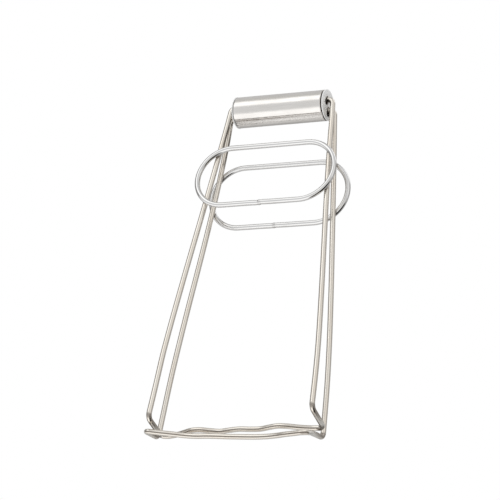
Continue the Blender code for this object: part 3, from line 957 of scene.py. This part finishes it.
def cap_profile(shade):
    """The cap from its face round the rim to the boss: (x, radius, painted shade, edge)."""
    back = CAP_FACE_X - CAP_T
    rim = 0.24
    boss_end, boss_in = back - BOSS_DEPTH, BOSS_R - BOSS_WALL
    profile = [(CAP_FACE_X, CAP_R - 0.9, 0, 0), (CAP_FACE_X, CAP_R - rim - 0.05, 0, 0.15)]
    for k in range(1, 6):
        f = math.pi / 2 * k / 5
        profile.append((CAP_FACE_X - rim * (1 - math.cos(f)), CAP_R - rim + rim * math.sin(f),
                        0, 0.9))
    return profile + [
        (CAP_FACE_X - 0.36, CAP_R, 0.1 * shade, 0.5), (back + 0.16, CAP_R - 0.02, 0.3 * shade, 0.2),
        (back + 0.1, CAP_R - 0.10, 0.8 * shade, 0), (back + 0.02, CAP_R - 0.4, shade, 0),
        (back, BOSS_R + 0.1, shade, 0), (back, BOSS_R, 1.0, 0),
        (boss_end, BOSS_R, 1.0, 0), (boss_end, boss_in, 1.0, 0), (back, boss_in, 1.0, 0)]


def build_cap(side, sign, rim_shade, mat):
    segs = 120
    slot_round = 0.14                 # rolled-over edge of the slots at the face
    verts, faces, shade_and_grime, edge = [], [], [], []

    def ring(x, outline, shade, rub=0.0):
        """Adds vertices at x for the (y, z) outline; returns their indices."""
        first = len(verts)
        for y, z in outline:
            verts.append(Vector((BARREL_X + sign * x, y, z)))
            shade_and_grime.append(shade)
            edge.append(rub)
        return list(range(first, len(verts)))

    def walls(rings):
        for a, b in zip(rings, rings[1:]):
            for k in range(len(a)):
                j = (k + 1) % len(a)
                faces.append((a[k], a[j], b[j], b[k]))

    def plate(loops):
        """Fills the first loop, less the holes that follow it."""
        points = [[Vector((verts[i].y, verts[i].z, 0)) for i in loop] for loop in loops]
        flat = [i for loop in loops for i in loop]
        for triangle in tessellate_polygon(points):
            faces.append(tuple(flat[i] for i in triangle))

    angles = [2 * math.pi * k / segs for k in range(segs)]
    body = [ring(x, [(radius * math.cos(a), radius * math.sin(a)) for a in angles], shade, rub)
            for x, radius, shade, rub in cap_profile(rim_shade)]
    walls(body)
    fronts, backs = [], []
    for p, q in SLOTS:
        # the slot walls get painted shade, darker further in
        rings = []
        for k in range(4):
            f = math.pi / 2 * k / 3
            rings.append(ring(CAP_FACE_X - slot_round * (1 - math.cos(f)),
                              obround(p, q, SLOT_R + slot_round * (1 - math.sin(f))),
                              0.25 + 0.08 * k))
        rings.append(ring(CAP_FACE_X - CAP_T, obround(p, q, SLOT_R), 0.48))
        walls(rings)
        fronts.append(rings[0])
        backs.append(rings[-1])
    plate([body[0]] + fronts)
    plate([body[-1]] + backs)
    add_piece(f"cap_{side}", verts, faces, mat, "handle",
              {"shade_and_grime": shade_and_grime, "edge": edge}, sharp_deg=50.0, replaces=(f"end_cap_{side}",))


# ---- floor, light, camera ----------------------------------------------------------
def floor_material():
    """Pale paper: fades out towards the rim, clear from below and in reflections."""
    ma = bpy.data.materials.new("studio_floor")
    ma.use_nodes = True
    ma.node_tree.nodes.clear()
    N = Nodes(ma.node_tree)
    place = N.new("ShaderNodeTexCoord").outputs["Object"]
    distance = N.new("ShaderNodeVectorMath", {0: place}, operation="LENGTH").outputs["Value"]
    fade = N.ramp(distance, over=(0.35, 1.5))
    paper = N.noise(place, stretch=(1.0, 1.0, 1.0), scale=900.0, detail=3.0, rough=0.6)
    shader = N.new("ShaderNodeBsdfPrincipled", {
        "Roughness": 0.7,
        "Base Color": N.tint(rgb(0.90, 0.90, 0.90), rgb(0.925, 0.925, 0.925), paper),
        "Normal": N.bump(paper, strength=0.15, distance=0.0002)})
    clear = N.new("ShaderNodeBsdfTransparent")
    below = N.new("ShaderNodeNewGeometry").outputs["Backfacing"]
    seen = N.new("ShaderNodeLightPath").outputs["Is Camera Ray"]
    hide = N.math("MAXIMUM", below, fade)
    hide = N.math("MAXIMUM", hide, N.math("SUBTRACT", 1.0, seen))
    mix = N.new("ShaderNodeMixShader", {0: hide, 1: shader.outputs[0], 2: clear.outputs[0]})
    N.new("ShaderNodeOutputMaterial", {"Surface": mix.outputs[0]})
    return ma


def build_floor():
    """A disc just under the jaws, in metres."""
    me = bpy.data.meshes.new("studio_floor")
    bm = bmesh.new()
    bmesh.ops.create_circle(bm, cap_ends=True, segments=96, radius=2.5)
    bm.to_mesh(me)
    bm.free()
    me.materials.append(floor_material())
    ob = bpy.data.objects.new("studio_floor", me)
    ob.location = (0, 0, cad_lo.z - 0.0002)
    bpy.context.scene.collection.objects.link(ob)


# the light tent, as reflected: grey cloth with lighter and darker panels.
# turn about +X from +Y towards +Z (from, to, softness, deg), x (from, to, softness), colour
TENT = rgb(0.70, 0.70, 0.70)
PANELS = (
    (-185, -60, 10, 0.02, 1.2, 0.12, (0.80, 0.79, 0.77)),       # front to below, right half
    (-185, -60, 10, 0.70, 1.2, 0.12, (0.60, 0.59, 0.57)),       # front to below, far right
    (-87, -26, 5, -1.2, 1.2, 0.1, (0.62, 0.61, 0.60)),          # below, behind
    (-26, 14, 8, -1.2, 1.2, 0.1, (0.40, 0.395, 0.39)),          # low, behind
    (14, 100, 9, -0.36, 1.2, 0.25, (0.42, 0.41, 0.405)),        # behind to above, not far left
    (98, 120, 7, -1.2, -0.30, 0.12, (0.55, 0.545, 0.52)),       # above, left
    (0, 122, 8, -1.2, -0.56, 0.06, (0.30, 0.295, 0.29)),        # behind to above, left
    (118, 165, 8, -1.2, -0.70, 0.07, (0.32, 0.315, 0.31)),      # upper front, far left
    (115, 165, 8, 0.52, 1.2, 0.10, (0.86, 0.85, 0.83)),         # upper front, right
    (124, 160, 5, -0.64, -0.10, 0.09, (1.30, 1.295, 1.285)),    # upper front, left of middle
    (-142, -88, 4, -1.2, 0.20, 0.10, (1.18, 1.17, 1.16)),       # lower front, all but right
)
# round spots in the tent: direction, full inside deg, nothing outside deg, colour
SPOTS = (
    ((0.70, 0.02, -0.71), 30.0, 42.0, (0.015, 0.013, 0.012)),   # dark, low right
    ((0.38, 0.36, 0.85), 10.0, 26.0, (1.25, 1.25, 1.25)),       # lamp, above
)


def build_world():
    world = bpy.data.worlds.new("light_tent")
    bpy.context.scene.world = world
    world.use_nodes = True
    world.node_tree.nodes.clear()
    N = Nodes(world.node_tree)
    generated = N.new("ShaderNodeTexCoord").outputs["Generated"]
    direction = N.new("ShaderNodeVectorMath", {0: generated}, operation="NORMALIZE").outputs[0]
    x, y, z = N.new("ShaderNodeSeparateXYZ", {0: direction}).outputs
    turn = N.math("DEGREES", N.math("ARCTAN2", z, y))
    # for panels that cross the front, where the turn jumps from 180 to -180
    past_front = N.math("GREATER_THAN", turn, 175.0)
    wrapped = N.math("SUBTRACT", turn, N.times(past_front, 360.0))

    def rising(value, at, soft):
        return N.ramp(value, over=(at - soft, at + soft))

    def falling(value, at, soft):
        return N.ramp(value, over=(at - soft, at + soft), to=(1.0, 0.0))

    col = TENT
    for lo, hi, soft, x_lo, x_hi, x_soft, colour in PANELS:
        angle = wrapped if lo < -180 else turn
        inside = N.times(rising(angle, lo, soft), falling(angle, hi, soft))
        inside = N.times(inside, rising(x, x_lo, x_soft))
        inside = N.times(inside, falling(x, x_hi, x_soft))
        col = N.tint(col, rgb(*colour), inside)
    for towards, full, gone, colour in SPOTS:
        dot = N.new("ShaderNodeVectorMath", {0: direction, 1: Vector(towards).normalized()},
                    operation="DOT_PRODUCT").outputs["Value"]
        edges = (math.cos(math.radians(gone)), math.cos(math.radians(full)))
        col = N.tint(col, rgb(*colour), N.ramp(dot, over=edges))
    tent = N.new("ShaderNodeBackground", {"Strength": 1.0, "Color": col})
    white = N.new("ShaderNodeBackground", {"Color": rgb(1, 1, 1), "Strength": 1.0})
    rays = N.new("ShaderNodeLightPath").outputs
    # clean paper for the camera, and even soft light for matt surfaces
    plain = N.math("MAXIMUM", rays["Is Camera Ray"], rays["Is Diffuse Ray"])
    mix = N.new("ShaderNodeMixShader", {0: plain, 1: tent.outputs[0], 2: white.outputs[0]})
    N.new("ShaderNodeOutputWorld", {"Surface": mix.outputs[0]})


def build_camera():
    """A long lens in front of the tongs, to their right and looking up."""
    right = Vector((0.91167, 0.38809, 0.13508))
    down = Vector((-0.06097, 0.45283, -0.88951))
    ahead = Vector((-0.40638, 0.80270, 0.43649))
    # the barrel's middle as the camera has it, mm: to the right, down, ahead
    barrel = Vector((18.501, -80.118, 1651.729))
    cam = bpy.data.cameras.new("camera")
    cam.sensor_width = 36.0
    cam.lens = 208.954512
    cam.clip_start, cam.clip_end = 0.05, 50.0
    ob = bpy.data.objects.new("camera", cam)
    pose = Matrix((right, -down, -ahead)).transposed().to_4x4()
    pose.translation = row(-(right * barrel.x + down * barrel.y + ahead * barrel.z))
    ob.matrix_world = pose
    bpy.context.scene.collection.objects.link(ob)
    bpy.context.scene.camera = ob


# ---- build -------------------------------------------------------------------------
nickel = wire_material("nickel_wire", base=rgb(0.88, 0.84, 0.775), warm=rgb(0.86, 0.80, 0.72),
                       rough=0.15, rough_var=0.05, line_bump=0.16, speck=0.10)
chrome = wire_material("chrome_wire", base=rgb(0.83, 0.83, 0.83), warm=rgb(0.80, 0.80, 0.795),
                       rough=0.022, rough_var=0.02, line_bump=0.05, speck=0.05)
bead = wire_material("weld_metal", base=rgb(0.78, 0.76, 0.73), warm=rgb(0.70, 0.65, 0.59),
                     rough=0.20, rough_var=0.10, line_bump=0.4, speck=0.2)
sheet = sheet_material("barrel_sheet_steel")
cap = cap_material("cap_matt_steel")

build_barrel(sheet)
# painted shade behind the rim: full at the right cap, faint at the left
build_cap("left", -1, rim_shade=0.12, mat=cap)
build_cap("right", 1, rim_shade=1.0, mat=cap)
weld_rng = random.Random(SEED)
for frame in (FRONT, REAR):
    build_tong(frame, nickel, chrome, bead, weld_rng)
build_floor()
build_world()
build_camera()
bpy.context.scene.view_settings.view_transform = "Standard"
